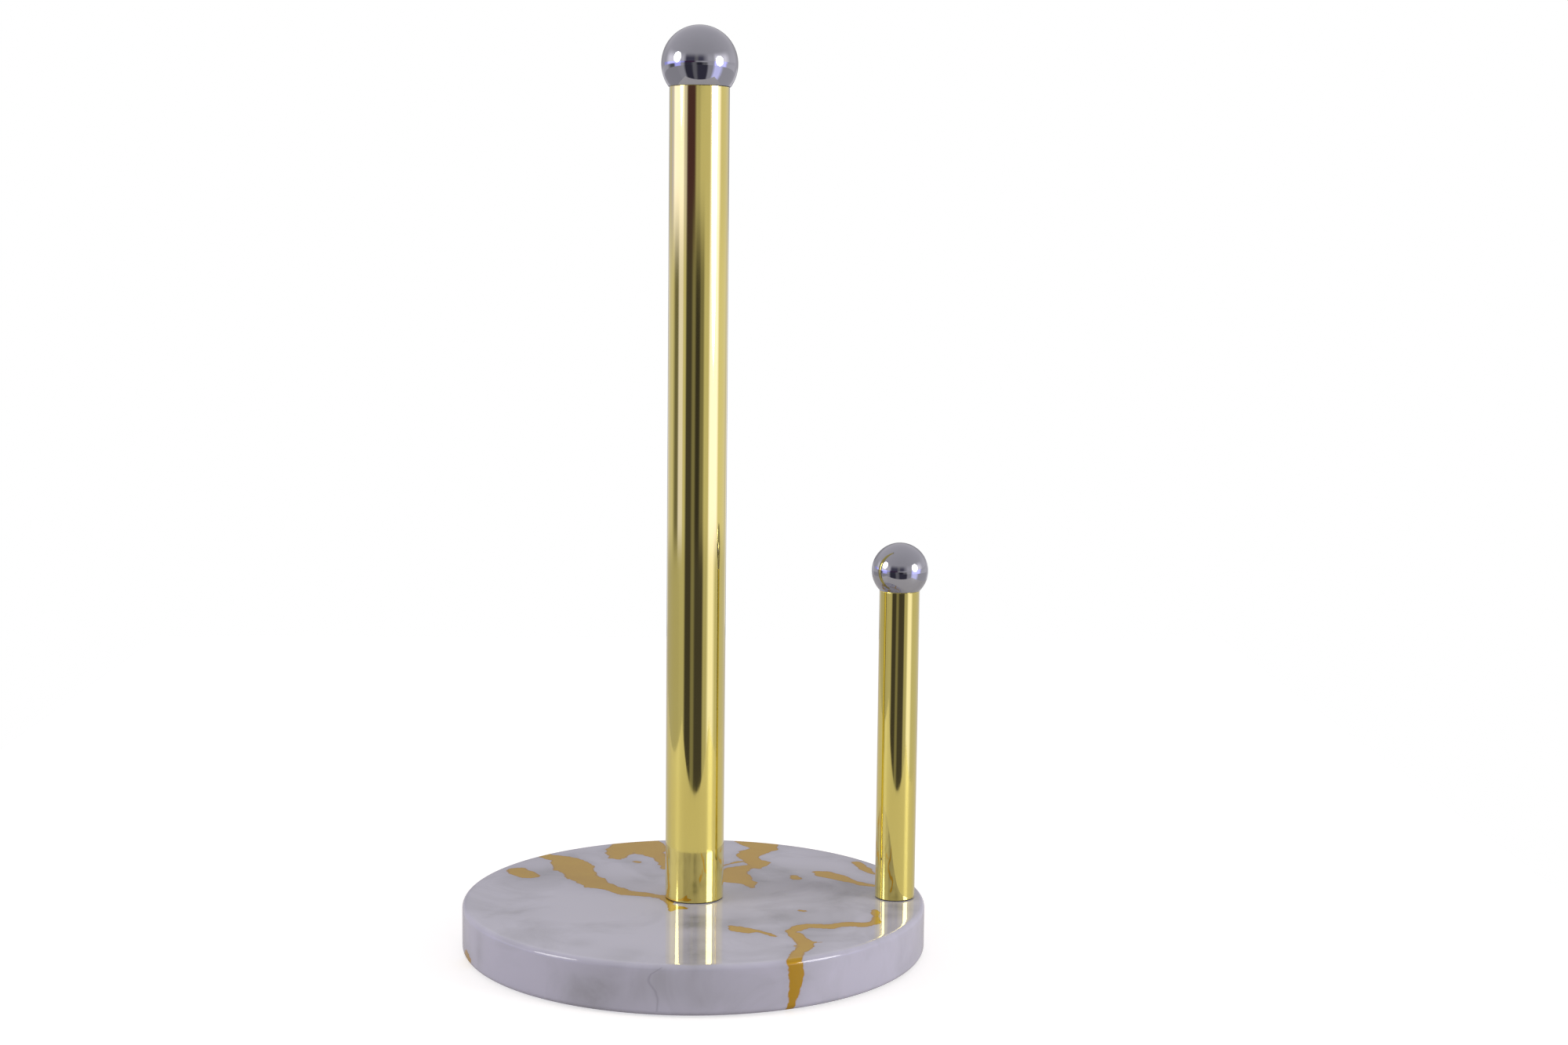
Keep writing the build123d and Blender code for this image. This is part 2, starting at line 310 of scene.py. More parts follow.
# Darker down the side, as painted shade
MARBLE_SHADED_SIDE = "#B6B3BF"
STONE_ROUGHNESS = 0.45
CLOUD_GREY = "#929194"
CLOUD_SIZE = 34 * MM
CLOUD_NOISE = (0.3, 0.7)  # noise at which a cloud is thinnest and thickest
CLOUD_BREAK = (0.35, 1.3)  # its share of the laid-out cloud there
HAZE_NOISE = (0.5, 0.75)  # noise at which a haze over all the stone begins and is full
HAZE_DARKNESS = 0.5
HAIRLINE_GREY = "#76757C"
HAIRLINE_WANDER = 1.0  # millimetres
HAIRLINE_WIDTH = 0.8  # millimetres to each side
HAIRLINE_DARKNESS = 0.32
VEIN_GOLD = "#B88D00"
VEIN_PALE_GOLD = "#C29C12"
# The veins down the side, darker as painted shade
VEIN_SHADED_GOLD = "#A98000"  # down the side
VEIN_EDGE_BROWN = "#A67B16"
VEIN_MOTTLE_SIZE = 9 * MM
VEIN_RAGGED_SIZE = 5 * MM
VEIN_RAGGED_DEPTH = 3.2  # millimetres that the edge wanders by, in all
VEIN_FRAYED_SIZE = 1.2 * MM
VEIN_FRAYED_DEPTH = 0.8  # millimetres, in all
VEIN_BLUR = 0.3  # millimetres to each side of the edge
VEIN_BROWN_WIDTH = 0.9  # millimetres in from the edge
VEIN_METALLIC = 0.25
NOISE_MEAN = 0.5
LACQUER_WAVE = 22 * MM
LACQUER_WAVE_HEIGHT = 0.008 * MM
LACQUER_ROUGHNESS = 0.02
LACQUER_IOR = 1.5

marble, tree = new_material("gloss_lacquered_marble")
place = add_node(tree, "ShaderNodeTexCoord").outputs["Object"]
ragged = add_node(tree, "ShaderNodeTexNoise", {
    "Vector": place, "Scale": 1 / VEIN_RAGGED_SIZE, "Detail": 2.0}).outputs["Fac"]
frayed = add_node(tree, "ShaderNodeTexNoise", {
    "Vector": place, "Scale": 1 / VEIN_FRAYED_SIZE, "Detail": 1.0}).outputs["Fac"]
distance = add_node(tree, "ShaderNodeAttribute", attribute_name="vein_distance").outputs["Fac"]
for noise, depth in ((ragged, VEIN_RAGGED_DEPTH), (frayed, VEIN_FRAYED_DEPTH)):
    distance = add_node(tree, "ShaderNodeMath", {0: noise, 1: depth, 2: distance},
                        operation="MULTIPLY_ADD").outputs[0]
# What the noises add on average is taken away again.
mean_depth = NOISE_MEAN * (VEIN_RAGGED_DEPTH + VEIN_FRAYED_DEPTH)
distance = add_node(tree, "ShaderNodeMath", {0: distance, 1: mean_depth},
                    operation="SUBTRACT").outputs[0]
vein = add_node(tree, "ShaderNodeMapRange", {
    "Value": distance, "From Min": VEIN_BLUR, "From Max": -VEIN_BLUR},
    interpolation_type="SMOOTHSTEP").outputs[0]
vein_core = add_node(tree, "ShaderNodeMapRange", {
    "Value": distance, "From Min": 0.0, "From Max": -VEIN_BROWN_WIDTH},
    interpolation_type="SMOOTHSTEP").outputs[0]
mottle = add_node(tree, "ShaderNodeTexNoise", {
    "Vector": place, "Scale": 1 / VEIN_MOTTLE_SIZE, "Detail": 4.0}).outputs["Fac"]
gold = add_node(tree, "ShaderNodeMix", {
    0: mottle, COLOUR_A: linear(VEIN_GOLD), COLOUR_B: linear(VEIN_PALE_GOLD)},
    data_type="RGBA").outputs[MIXED_COLOUR]
# Painted shade: the veins are darker down the side
painted_side_shade = add_node(tree, "ShaderNodeAttribute", attribute_name="painted_side_shade").outputs["Fac"]
gold = add_node(tree, "ShaderNodeMix", {
    0: painted_side_shade, COLOUR_A: gold, COLOUR_B: linear(VEIN_SHADED_GOLD)},
    data_type="RGBA").outputs[MIXED_COLOUR]
gold = add_node(tree, "ShaderNodeMix", {
    0: vein_core, COLOUR_A: linear(VEIN_EDGE_BROWN), COLOUR_B: gold},
    data_type="RGBA").outputs[MIXED_COLOUR]
drift = add_node(tree, "ShaderNodeTexNoise", {
    "Vector": place, "Scale": 1 / CLOUD_SIZE, "Detail": 5.0, "Roughness": 0.55,
    "Distortion": 0.6}).outputs["Fac"]
# The laid-out clouds, with the painted reflection of the roll tube among them
laid = add_node(tree, "ShaderNodeAttribute", attribute_name="clouds_and_painted_reflection").outputs["Fac"]
broken = add_node(tree, "ShaderNodeMapRange", {
    "Value": drift, "From Min": CLOUD_NOISE[0], "From Max": CLOUD_NOISE[1],
    "To Min": CLOUD_BREAK[0], "To Max": CLOUD_BREAK[1]}).outputs[0]
cloud_and_reflection = add_node(tree, "ShaderNodeMath", {0: laid, 1: broken}, operation="MULTIPLY").outputs[0]
haze = add_node(tree, "ShaderNodeMapRange", {
    "Value": drift, "From Min": HAZE_NOISE[0], "From Max": HAZE_NOISE[1],
    "To Max": HAZE_DARKNESS}).outputs[0]
cloud_and_reflection = add_node(tree, "ShaderNodeMath", {0: cloud_and_reflection, 1: haze}, operation="ADD",
                 use_clamp=True).outputs[0]
# Painted shade: the stone is darker down the side
white = add_node(tree, "ShaderNodeMix", {
    0: painted_side_shade, COLOUR_A: linear(MARBLE_WHITE), COLOUR_B: linear(MARBLE_SHADED_SIDE)},
    data_type="RGBA").outputs[MIXED_COLOUR]
stone = add_node(tree, "ShaderNodeMix", {
    0: cloud_and_reflection, COLOUR_A: white, COLOUR_B: linear(CLOUD_GREY)},
    data_type="RGBA").outputs[MIXED_COLOUR]
offset = add_node(tree, "ShaderNodeAttribute", attribute_name="hairline_offset").outputs["Fac"]
offset = add_node(tree, "ShaderNodeMath", {0: ragged, 1: HAIRLINE_WANDER, 2: offset},
                  operation="MULTIPLY_ADD").outputs[0]
offset = add_node(tree, "ShaderNodeMath", {0: offset, 1: NOISE_MEAN * HAIRLINE_WANDER},
                  operation="SUBTRACT").outputs[0]
offset = add_node(tree, "ShaderNodeMath", {0: offset}, operation="ABSOLUTE").outputs[0]
hairline = add_node(tree, "ShaderNodeMapRange", {
    "Value": offset, "From Min": HAIRLINE_WIDTH, "From Max": 0.0, "To Max": HAIRLINE_DARKNESS},
    interpolation_type="SMOOTHSTEP").outputs[0]
stone = add_node(tree, "ShaderNodeMix", {
    0: hairline, COLOUR_A: stone, COLOUR_B: linear(HAIRLINE_GREY)},
    data_type="RGBA").outputs[MIXED_COLOUR]
colour = add_node(tree, "ShaderNodeMix", {0: vein, COLOUR_A: stone, COLOUR_B: gold},
                  data_type="RGBA").outputs[MIXED_COLOUR]
metal = add_node(tree, "ShaderNodeMath", {0: vein, 1: VEIN_METALLIC},
                 operation="MULTIPLY").outputs[0]
wave = add_node(tree, "ShaderNodeTexNoise", {
    "Vector": place, "Scale": 1 / LACQUER_WAVE, "Detail": 1.0}).outputs["Fac"]
lacquer = add_node(tree, "ShaderNodeBump", {
    "Height": wave, "Distance": LACQUER_WAVE_HEIGHT, "Strength": 1.0}).outputs[0]
# The stone under the lacquer has no gloss of its own.
surface = add_node(tree, "ShaderNodeBsdfPrincipled", {
    "Base Color": colour, "Metallic": metal, "Roughness": STONE_ROUGHNESS,
    "Specular IOR Level": 0.0, "Coat Weight": 1.0, "Coat Roughness": LACQUER_ROUGHNESS,
    "Coat IOR": LACQUER_IOR, "Coat Normal": lacquer}).outputs[0]
add_node(tree, "ShaderNodeOutputMaterial", {"Surface": surface})
marble_base.data.materials.append(marble)
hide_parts("base_disc")
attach(marble_base, "stand")

# Feet and gaskets
# Four round pads of black rubber pressed into recesses under the base, and a thin black rubber
# washer under each tube, which shows as a dark hairline. All are cut from moulded sheet, with its
# fine matt grain.
POSTS = ("roll_post", "side_post")
RUBBER_BLACK = "#292725"
RUBBER_WORN = "#3B3835"
RUBBER_ROUGHNESS = 0.75
RUBBER_GRAIN = 0.6 * MM
RUBBER_GRAIN_HEIGHT = 0.02 * MM
RUBBER_DUST_SIZE = 6 * MM


def finish_nodes(pieces, material):
    """Gives CAD pieces, whose meshes stay as they are, their finish."""
    for piece in pieces:
        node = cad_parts[piece]
        node.data.materials.clear()
        node.data.materials.append(material)


rubber, tree = new_material("black_moulded_rubber")
place = add_node(tree, "ShaderNodeTexCoord").outputs["Object"]
grain = add_node(tree, "ShaderNodeTexNoise", {
    "Vector": place, "Scale": 1 / RUBBER_GRAIN, "Detail": 2.0}).outputs["Fac"]
dust = add_node(tree, "ShaderNodeTexNoise", {
    "Vector": place, "Scale": 1 / RUBBER_DUST_SIZE, "Detail": 4.0}).outputs["Fac"]
colour = add_node(tree, "ShaderNodeMix", {
    0: dust, COLOUR_A: linear(RUBBER_BLACK), COLOUR_B: linear(RUBBER_WORN)},
    data_type="RGBA").outputs[MIXED_COLOUR]
bump = add_node(tree, "ShaderNodeBump", {
    "Height": grain, "Distance": RUBBER_GRAIN_HEIGHT}).outputs[0]
surface = add_node(tree, "ShaderNodeBsdfPrincipled", {
    "Base Color": colour, "Roughness": RUBBER_ROUGHNESS, "Normal": bump}).outputs[0]
add_node(tree, "ShaderNodeOutputMaterial", {"Surface": surface})
finish_nodes(["base_feet"] + [post + "_gasket" for post in POSTS], rubber)

# Plugs, screws and flat washers
# Turned steel plugs pressed into both ends of each tube, cross-recess pan head screws up through
# the base into the lower plugs, and stamped washers under their heads. All are barrel plated with
# bright zinc, cool and a little cloudy.
ZINC_LIGHT = "#C9CCCF"
ZINC_DULL = "#A7ABB0"
ZINC_ROUGHNESS = (0.22, 0.38)
ZINC_SPANGLE = 1.5 * MM
TURNING_MARK = 0.25 * MM  # drawn coarser than real, so that it shows
TURNING_MARK_HEIGHT = 0.004 * MM
ZINC_PIECES = ("foot_plug", "screw", "screw_washer", "top_plug")

zinc, tree = new_material("bright_zinc_plated_steel")
place = add_node(tree, "ShaderNodeTexCoord").outputs["Object"]
spangle = add_node(tree, "ShaderNodeTexNoise", {
    "Vector": place, "Scale": 1 / ZINC_SPANGLE, "Detail": 3.0}).outputs["Fac"]
colour = add_node(tree, "ShaderNodeMix", {
    0: spangle, COLOUR_A: linear(ZINC_DULL), COLOUR_B: linear(ZINC_LIGHT)},
    data_type="RGBA").outputs[MIXED_COLOUR]
rough = add_node(tree, "ShaderNodeMapRange", {
    "Value": spangle, "To Min": ZINC_ROUGHNESS[0], "To Max": ZINC_ROUGHNESS[1]}).outputs[0]
marks = add_node(tree, "ShaderNodeTexNoise", {
    "Vector": place, "Scale": 1 / TURNING_MARK, "Detail": 1.0}).outputs["Fac"]
bump = add_node(tree, "ShaderNodeBump", {
    "Height": marks, "Distance": TURNING_MARK_HEIGHT}).outputs[0]
surface = add_node(tree, "ShaderNodeBsdfPrincipled", {
    "Base Color": colour, "Metallic": 1.0, "Roughness": rough, "Normal": bump}).outputs[0]
add_node(tree, "ShaderNodeOutputMaterial", {"Surface": surface})
finish_nodes([f"{post}_{piece}" for post in POSTS for piece in ZINC_PIECES], zinc)

# Spring washers
# Split rings of flat spring wire under the screw heads and under the balls. They are hardened and
# oiled, which leaves a dark brown-grey scale that shines dully.
SPRING_DARK = "#4A4744"
SPRING_LIGHT = "#6B6762"
SPRING_ROUGHNESS = 0.4
SPRING_SCALE = 2.0 * MM
SPRING_PIECES = ("screw_lock_washer", "ball_lock_washer")

spring_steel, tree = new_material("oiled_spring_steel")
place = add_node(tree, "ShaderNodeTexCoord").outputs["Object"]
scale = add_node(tree, "ShaderNodeTexNoise", {
    "Vector": place, "Scale": 1 / SPRING_SCALE, "Detail": 4.0}).outputs["Fac"]
colour = add_node(tree, "ShaderNodeMix", {
    0: scale, COLOUR_A: linear(SPRING_DARK), COLOUR_B: linear(SPRING_LIGHT)},
    data_type="RGBA").outputs[MIXED_COLOUR]
surface = add_node(tree, "ShaderNodeBsdfPrincipled", {
    "Base Color": colour, "Metallic": 1.0, "Roughness": SPRING_ROUGHNESS}).outputs[0]
add_node(tree, "ShaderNodeOutputMaterial", {"Surface": surface})
finish_nodes([f"{post}_{piece}" for post in POSTS for piece in SPRING_PIECES], spring_steel)

# Tubes
# Drawn brass tube, polished and plated pale gold, then clear lacquered. The polish is a mirror,
# with the tube's own long shallow waves and faint hair scratches along its length.
GOLD_PALE = "#EEE07C"
GOLD_DEEP = "#EAD76E"
GOLD_DRIFT = 40 * MM
GOLD_ROUGHNESS = (0.045, 0.075)
GOLD_LACQUER_ROUGHNESS = 0.03
TUBE_WAVE = 9 * MM
TUBE_WAVE_STRETCH = 0.12  # the waves run along the tube
TUBE_WAVE_HEIGHT = 0.0012 * MM
HAIR_SCRATCH = 1.5 * MM  # drawn coarser than real, which the render could not show
HAIR_STRETCH = 0.02
HAIR_NOISE = (0.35, 0.8)  # noise at which the polish is clear and scratched

gold_plate, tree = new_material("polished_gold_plated_brass")
place = add_node(tree, "ShaderNodeTexCoord").outputs["Object"]
drift = add_node(tree, "ShaderNodeTexNoise", {
    "Vector": place, "Scale": 1 / GOLD_DRIFT, "Detail": 3.0}).outputs["Fac"]
colour = add_node(tree, "ShaderNodeMix", {
    0: drift, COLOUR_A: linear(GOLD_DEEP), COLOUR_B: linear(GOLD_PALE)},
    data_type="RGBA").outputs[MIXED_COLOUR]
drawn = add_node(tree, "ShaderNodeVectorMath", {0: place, 1: (1.0, 1.0, TUBE_WAVE_STRETCH)},
                 operation="MULTIPLY").outputs[0]
wave = add_node(tree, "ShaderNodeTexNoise", {
    "Vector": drawn, "Scale": 1 / TUBE_WAVE, "Detail": 1.0}).outputs["Fac"]
bump = add_node(tree, "ShaderNodeBump", {
    "Height": wave, "Distance": TUBE_WAVE_HEIGHT}).outputs[0]
combed = add_node(tree, "ShaderNodeVectorMath", {0: place, 1: (1.0, 1.0, HAIR_STRETCH)},
                  operation="MULTIPLY").outputs[0]
hairs = add_node(tree, "ShaderNodeTexNoise", {
    "Vector": combed, "Scale": 1 / HAIR_SCRATCH, "Detail": 2.0}).outputs["Fac"]
rough = add_node(tree, "ShaderNodeMapRange", {
    "Value": hairs, "From Min": HAIR_NOISE[0], "From Max": HAIR_NOISE[1],
    "To Min": GOLD_ROUGHNESS[0], "To Max": GOLD_ROUGHNESS[1]}).outputs[0]
surface = add_node(tree, "ShaderNodeBsdfPrincipled", {
    "Base Color": colour, "Metallic": 1.0, "Roughness": rough, "Normal": bump,
    "Coat Weight": 1.0, "Coat Roughness": GOLD_LACQUER_ROUGHNESS}).outputs[0]
add_node(tree, "ShaderNodeOutputMaterial", {"Surface": surface})
finish_nodes([post + "_tube" for post in POSTS], gold_plate)

# Studs
# Rolled threaded rod, zinc plated, screwed and glued into each ball. The thread turns in the tube's
# upper plug, so the ball rises one pitch with each turn, and the thread shows below a ball that is
# unscrewed.
STUD_PITCH = {"roll_post": 1.25 * MM, "side_post": 1.0 * MM}
THREAD_DEPTH = 0.61  # of the pitch
CREST_FLAT = 0.12  # of the pitch, and as much at the root
STUD_SEGMENTS = 64
STEPS_PER_PITCH = 12
STUD_CHAMFER = 0.6 * MM


def threaded_rod(name, axis_x, radius, pitch, bottom, top):
    """Right-handed thread cut on a rod, with both ends chamfered."""
    rings = round((top - bottom) / pitch * STEPS_PER_PITCH)
    corners = []
    for ring in range(rings + 1):
        z = bottom + (top - bottom) * ring / rings
        chamfered = radius - max(0.0, STUD_CHAMFER - min(z - bottom, top - z))
        for step in range(STUD_SEGMENTS):
            share = step / STUD_SEGMENTS
            depth = abs(((z - bottom) / pitch - share) % 1 - 0.5) * 2
            depth = min(max((depth - CREST_FLAT) / (1 - 2 * CREST_FLAT), 0.0), 1.0)
            r = min(radius - THREAD_DEPTH * pitch * depth, chamfered)
            corners.append((axis_x + r * cos(2 * pi * share), r * sin(2 * pi * share), z))
    faces = []
    for here in range(0, rings * STUD_SEGMENTS, STUD_SEGMENTS):
        above = here + STUD_SEGMENTS
        for step in range(STUD_SEGMENTS):
            ahead = (step + 1) % STUD_SEGMENTS
            faces.append((here + step, here + ahead, above + ahead, above + step))
    faces.append(tuple(reversed(range(STUD_SEGMENTS))))
    faces.append(tuple(range(rings * STUD_SEGMENTS, (rings + 1) * STUD_SEGMENTS)))
    return new_object(name, corners, faces)


for post in POSTS:
    low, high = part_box(post + "_ball_stud")
    axis_x = (low.x + high.x) / 2
    radius = (high.x - low.x) / 2
    stud = threaded_rod(post + "_threaded_stud", axis_x, radius, STUD_PITCH[post], low.z, high.z)
    stud.data.shade_smooth()
    stud.data.set_sharp_from_angle(angle=SHARP_EDGE)
    stud.data.materials.append(zinc)
    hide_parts(post + "_ball_stud")
    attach(stud, post + "_finial")

# Balls
# Solid turned balls, polished and chromium plated, with a spigot that drops into the tube's mouth.
# Chrome is a cool grey mirror that gives back about half of the light; handling leaves faint smears
# on it.
CHROME_GREY = "#B2B2B7"
CHROME_SHADE = "#ACACB2"
CHROME_ROUGHNESS = (0.015, 0.05)
SMEAR_SIZE = 7 * MM
SMEAR_NOISE = (0.35, 0.75)  # noise at which the chrome is clean and smeared

chrome, tree = new_material("polished_chrome_plate")
place = add_node(tree, "ShaderNodeTexCoord").outputs["Object"]
smear = add_node(tree, "ShaderNodeTexNoise", {
    "Vector": place, "Scale": 1 / SMEAR_SIZE, "Detail": 4.0, "Distortion": 0.8}).outputs["Fac"]
colour = add_node(tree, "ShaderNodeMix", {
    0: smear, COLOUR_A: linear(CHROME_SHADE), COLOUR_B: linear(CHROME_GREY)},
    data_type="RGBA").outputs[MIXED_COLOUR]
rough = add_node(tree, "ShaderNodeMapRange", {
    "Value": smear, "From Min": SMEAR_NOISE[0], "From Max": SMEAR_NOISE[1],
    "To Min": CHROME_ROUGHNESS[0], "To Max": CHROME_ROUGHNESS[1]}).outputs[0]
surface = add_node(tree, "ShaderNodeBsdfPrincipled", {
    "Base Color": colour, "Metallic": 1.0, "Roughness": rough}).outputs[0]
add_node(tree, "ShaderNodeOutputMaterial", {"Surface": surface})
finish_nodes([post + "_ball" for post in POSTS], chrome)

# Table
# A plain white laminate top for the stand to be shown on. The camera and clear materials see it
# white, with the stand's shadow; polished metal sees it as pale as it is lit. From below it isn't
# there, and under the base it lets the light through to the underside.
TABLE_FRONT = -0.27  # metres, as the next two are
TABLE_BACK = 0.7
TABLE_SIDE = 0.36
TABLE_WHITE = "#CFCCC7"
TABLE_ROUGHNESS = 0.45
TABLE_GLOSS = 0.05
WHITE_FILL = 0.56  # added to the lit laminate up to white, for the camera
METAL_FILL = 0.06  # added where metal reflects it

corners = [(-TABLE_SIDE, TABLE_FRONT, 0), (TABLE_SIDE, TABLE_FRONT, 0),
           (TABLE_SIDE, TABLE_BACK, 0), (-TABLE_SIDE, TABLE_BACK, 0)]
table = new_object("table_top", corners, [(0, 1, 2, 3)])
laminate, tree = new_material("white_laminate")
light_path = add_node(tree, "ShaderNodeLightPath").outputs
seen = add_node(tree, "ShaderNodeMath", {
    0: light_path["Is Camera Ray"], 1: light_path["Is Transmission Ray"]},
    operation="MAXIMUM").outputs[0]
in_metal = add_node(tree, "ShaderNodeMath", {0: light_path["Is Glossy Ray"], 1: METAL_FILL},
                    operation="MULTIPLY").outputs[0]
fill = add_node(tree, "ShaderNodeMath", {0: seen, 1: WHITE_FILL, 2: in_metal},
                operation="MULTIPLY_ADD").outputs[0]
lit = add_node(tree, "ShaderNodeBsdfPrincipled", {
    "Base Color": linear(TABLE_WHITE), "Roughness": TABLE_ROUGHNESS,
    "Specular IOR Level": TABLE_GLOSS}).outputs[0]
filled = add_node(tree, "ShaderNodeEmission", {"Strength": fill}).outputs[0]
top = add_node(tree, "ShaderNodeAddShader", {0: lit, 1: filled}).outputs[0]
clear = add_node(tree, "ShaderNodeBsdfTransparent").outputs[0]
under = add_node(tree, "ShaderNodeNewGeometry").outputs["Backfacing"]
place = add_node(tree, "ShaderNodeTexCoord").outputs["Object"]
from_middle = add_node(tree, "ShaderNodeVectorMath", {0: place},
                       operation="LENGTH").outputs["Value"]
beneath = add_node(tree, "ShaderNodeMath", {0: from_middle, 1: flat_radius},
                   operation="LESS_THAN").outputs[0]
beneath = add_node(tree, "ShaderNodeMath", {0: beneath, 1: light_path["Is Camera Ray"]},
                   operation="SUBTRACT").outputs[0]
missing = add_node(tree, "ShaderNodeMath", {0: under, 1: beneath}, operation="MAXIMUM").outputs[0]
sided = add_node(tree, "ShaderNodeMixShader", {0: missing, 1: top, 2: clear}).outputs[0]
add_node(tree, "ShaderNodeOutputMaterial", {"Surface": sided})
table.data.materials.append(laminate)

# Studio
# A white surround for the camera. For the light and for reflections it is a pale room: a lit sheet
# at each side, grey walls, an opening at the back, a ceiling that is paler towards the back, and a
# dark end round the camera.
SURROUND_WHITE = "#FFFFFF"
ROOM_TINT = "#FBF8FF"
SHEET_TINT = "#BABAFF"  # cool: lit sheets come near white in the gold, as overlit gold does
FLOOR_SHEET_TINT = "#D4D4FF"
DARK_TINT = "#DCD7FF"
WARM_DARK_TINT = "#EBA8F6"
CEILING_FRONT = 0.54
CEILING_BACK = 0.72
CEILING_BLEND = 0.8  # how far to the front and the back the one tone turns into the other
# Bands round the room in four rows from the floor up: first and last azimuth, tone, tint. Azimuths
# are in degrees, 0 on the camera's side and 90 towards +X. Between two bands one colour turns into
# the other.
FLOOR_BANDS = [
    (-180, -169, 0.11, DARK_TINT),  # opening at the back
    (-160, -158, 0.8, ROOM_TINT),  # its frame
    (-142, -74, 0.46, ROOM_TINT),  # left wall
    (-67, -51, 0.5, ROOM_TINT),  # foot of the left sheet
    (-44, -25, 0.055, DARK_TINT),  # dark end
    (-19, -12, 0.22, ROOM_TINT),  # gap in the dark end
    (-5, 22, 0.06, DARK_TINT),  # dark end
    (28, 40, 0.48, ROOM_TINT),  # pale end wall
    (49, 66, 1.14, FLOOR_SHEET_TINT),  # foot of the right sheet
    (78, 140, 0.58, ROOM_TINT),  # right wall
    (157, 159, 0.9, ROOM_TINT),  # frame of the opening
    (168, 180, 0.11, DARK_TINT),  # opening at the back
]
LOWER_BANDS = [
    (-180, -169, 0.11, DARK_TINT),  # opening at the back
    (-160, -158, 0.8, ROOM_TINT),  # its frame
    (-142, -112, 0.65, ROOM_TINT),  # left wall
    (-97, -84, 0.16, ROOM_TINT),  # stand of the left sheet
    (-77, -62, 0.86, SHEET_TINT),  # left sheet
    (-57, -51, 0.6, ROOM_TINT),  # edge of the left sheet
    (-44, -26, 0.06, DARK_TINT),  # dark end
    (-19, -13, 0.22, ROOM_TINT),  # gap in the dark end
    (-6, 5, 0.04, DARK_TINT),  # dark end
    (12, 20, 0.2, ROOM_TINT),  # side of the dark end
    (27, 42, 0.6, ROOM_TINT),  # pale end wall
    (49, 80, 1.38, SHEET_TINT),  # right sheet
    (90, 128, 0.76, ROOM_TINT),  # right wall
    (140, 142, 0.6, ROOM_TINT),  # shade at the corner
    (157, 159, 0.9, ROOM_TINT),  # frame of the opening
    (168, 180, 0.11, DARK_TINT),  # opening at the back
]
WALL_BANDS = [
    (-180, -166, 0.35, ROOM_TINT),  # back wall
    (-150, -132, 0.56, ROOM_TINT),  # left wall
    (-128, -118, 0.56, SHEET_TINT),  # dim end of the left sheet
    (-106, -62, 1.3, SHEET_TINT),  # left sheet
    (-57, -50, 0.66, SHEET_TINT),  # edge of the left sheet
    (-44, -17, 0.07, WARM_DARK_TINT),  # dark end
    (-9, 1, 0.46, ROOM_TINT),  # shade on the end wall
    (9, 42, 0.6, ROOM_TINT),  # pale end wall
    (50, 82, 1.38, SHEET_TINT),  # right sheet
    (94, 136, 0.7, ROOM_TINT),  # right wall
    (166, 180, 0.35, ROOM_TINT),  # back wall
]
UPPER_BANDS = [
    (-180, -166, 0.35, ROOM_TINT),  # back wall
    (-140, -122, 0.61, ROOM_TINT),  # left wall
    (-102, -70, 1.4, ROOM_TINT),  # left sheet
    (-62, -50, 0.85, ROOM_TINT),  # dim edge of the left sheet
    (-40, -18, 0.1, DARK_TINT),  # dark end
    (-12, -7, 0.24, ROOM_TINT),  # gap in the dark end
    (-2, 8, 0.11, DARK_TINT),  # dark end
    (28, 42, 0.68, ROOM_TINT),  # pale end wall
    (50, 84, 1.45, ROOM_TINT),  # right sheet
    (102, 130, 0.78, ROOM_TINT),  # right wall
    (166, 180, 0.35, ROOM_TINT),  # back wall
]
# Sines of the elevations between which each row gives way to the one above it, and the last one to
# the ceiling
ROW_CHANGES = [(-0.136, -0.115), (-0.016, 0.032), (0.07, 0.085), (0.2, 0.5)]


def toned(tone, tint):
    """A tint's colour, as bright in red as the tone."""
    red, green, blue, alpha = linear(tint)
    return (tone, tone * green / red, tone * blue / red, alpha)


world = bpy.data.worlds.new("studio")
bpy.context.scene.world = world
world.use_nodes = True
tree = world.node_tree
tree.nodes.clear()
heading = add_node(tree, "ShaderNodeTexCoord").outputs["Generated"]
heading = add_node(tree, "ShaderNodeSeparateXYZ", {0: heading}).outputs
towards_camera = add_node(tree, "ShaderNodeMath", {0: heading["Y"], 1: -1.0},
                          operation="MULTIPLY").outputs[0]
azimuth = add_node(tree, "ShaderNodeMath", {0: heading["X"], 1: towards_camera},
                   operation="ARCTAN2").outputs[0]
azimuth_share = add_node(tree, "ShaderNodeMapRange", {
    "Value": azimuth, "From Min": -pi, "From Max": pi}).outputs[0]
backwards = add_node(tree, "ShaderNodeMapRange", {
    "Value": heading["Y"], "From Min": -CEILING_BLEND, "From Max": CEILING_BLEND}).outputs[0]
ceiling = add_node(tree, "ShaderNodeMix", {
    0: backwards, COLOUR_A: toned(CEILING_FRONT, ROOM_TINT),
    COLOUR_B: toned(CEILING_BACK, ROOM_TINT)}, data_type="RGBA").outputs[MIXED_COLOUR]
row_colours = []
for bands in (FLOOR_BANDS, LOWER_BANDS, WALL_BANDS, UPPER_BANDS):
    ends = [(bearing, toned(tone, tint))
            for first, last, tone, tint in bands for bearing in (first, last)]
    ramp = add_node(tree, "ShaderNodeValToRGB", {"Fac": azimuth_share})
    stops = ramp.color_ramp.elements  # a new ramp has its first and its last stop
    for bearing, colour in ends[1:-1]:
        stops.new((bearing + 180) / 360)
    for stop, (bearing, colour) in zip(stops, ends):
        stop.color = colour
    row_colours.append(ramp.outputs["Color"])
row_colours.append(ceiling)
room = row_colours[0]
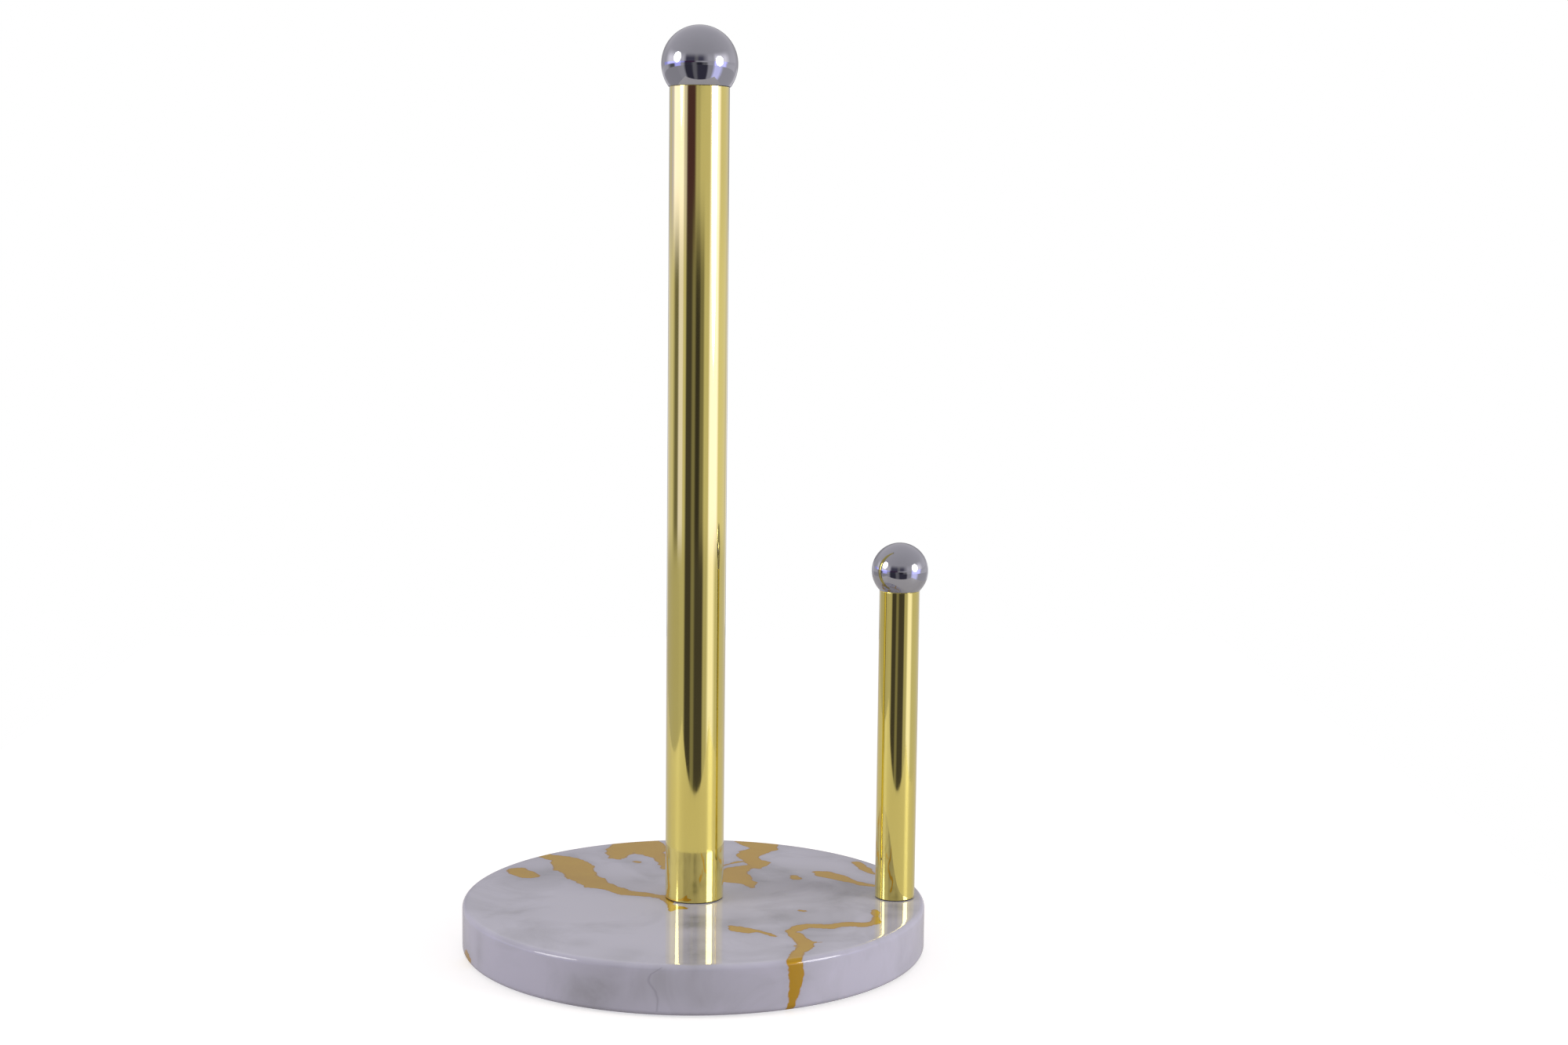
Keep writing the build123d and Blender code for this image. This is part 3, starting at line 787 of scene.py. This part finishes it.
for row_colour, (change_start, change_end) in zip(row_colours[1:], ROW_CHANGES):
    raised = add_node(tree, "ShaderNodeMapRange", {
        "Value": heading["Z"], "From Min": change_start, "From Max": change_end},
        interpolation_type="SMOOTHSTEP").outputs[0]
    room = add_node(tree, "ShaderNodeMix", {0: raised, COLOUR_A: room, COLOUR_B: row_colour},
                    data_type="RGBA").outputs[MIXED_COLOUR]
light_path = add_node(tree, "ShaderNodeLightPath").outputs
seen = add_node(tree, "ShaderNodeMath", {
    0: light_path["Is Camera Ray"], 1: light_path["Is Transmission Ray"]},
    operation="MAXIMUM").outputs[0]
surround = add_node(tree, "ShaderNodeMix", {
    0: seen, COLOUR_A: room, COLOUR_B: linear(SURROUND_WHITE)},
    data_type="RGBA").outputs[MIXED_COLOUR]
background = add_node(tree, "ShaderNodeBackground", {
    "Color": surround, "Strength": 1.0}).outputs[0]
add_node(tree, "ShaderNodeOutputWorld", {"Surface": background})

# Lamps
# Two round soft lamps, one on each side towards the front, a little above the stand. They light the
# base and make the two spots on each ball; the tubes' pale strips come from the room's sheets.
LAMP_AIM = Vector((0.0, 0.0, 0.2))
# Name, diameter, watts, place; in metres
LAMPS = [
    ("left_lamp", 0.56, 5.5, Vector((-1.17, -0.38, 0.64))),
    ("right_lamp", 0.62, 9.5, Vector((1.24, -0.66, 0.46))),
]

for name, diameter, watts, lamp_place in LAMPS:
    lamp = bpy.data.lights.new(name, "AREA")
    lamp.shape = "DISK"
    lamp.size = diameter
    lamp.energy = watts
    lamp_object = bpy.data.objects.new(name, lamp)
    lamp_object.location = lamp_place
    lamp_object.rotation_euler = (LAMP_AIM - lamp_place).to_track_quat("-Z", "Y").to_euler()
    lamp_object.visible_camera = False
    bpy.context.scene.collection.objects.link(lamp_object)

# Camera
# A short telephoto view from the front, from three quarters of the stand's height, turned a little
# down and to the right. Its place, tilt and lens were fitted to the outlines of the base, the tubes
# and the balls.
CAMERA_PLACE = Vector((0.0, -0.8629, 0.2616))
CAMERA_LENS = 53.65  # millimetres on a 36 mm wide sensor
CAMERA_PITCH = radians(-6.628)
CAMERA_YAW = radians(-2.153)
CAMERA_ROLL = radians(-0.630)

camera_data = bpy.data.cameras.new("front_camera")
camera_data.lens = CAMERA_LENS
camera = bpy.data.objects.new("front_camera", camera_data)
bpy.context.scene.collection.objects.link(camera)
aim = Matrix.Rotation(CAMERA_YAW, 4, "Z") @ Matrix.Rotation(pi / 2 + CAMERA_PITCH, 4, "X")
camera.matrix_world = Matrix.Translation(CAMERA_PLACE) @ aim @ Matrix.Rotation(-CAMERA_ROLL, 4, "Z")
bpy.context.scene.camera = camera
bpy.context.scene.view_settings.view_transform = "Standard"
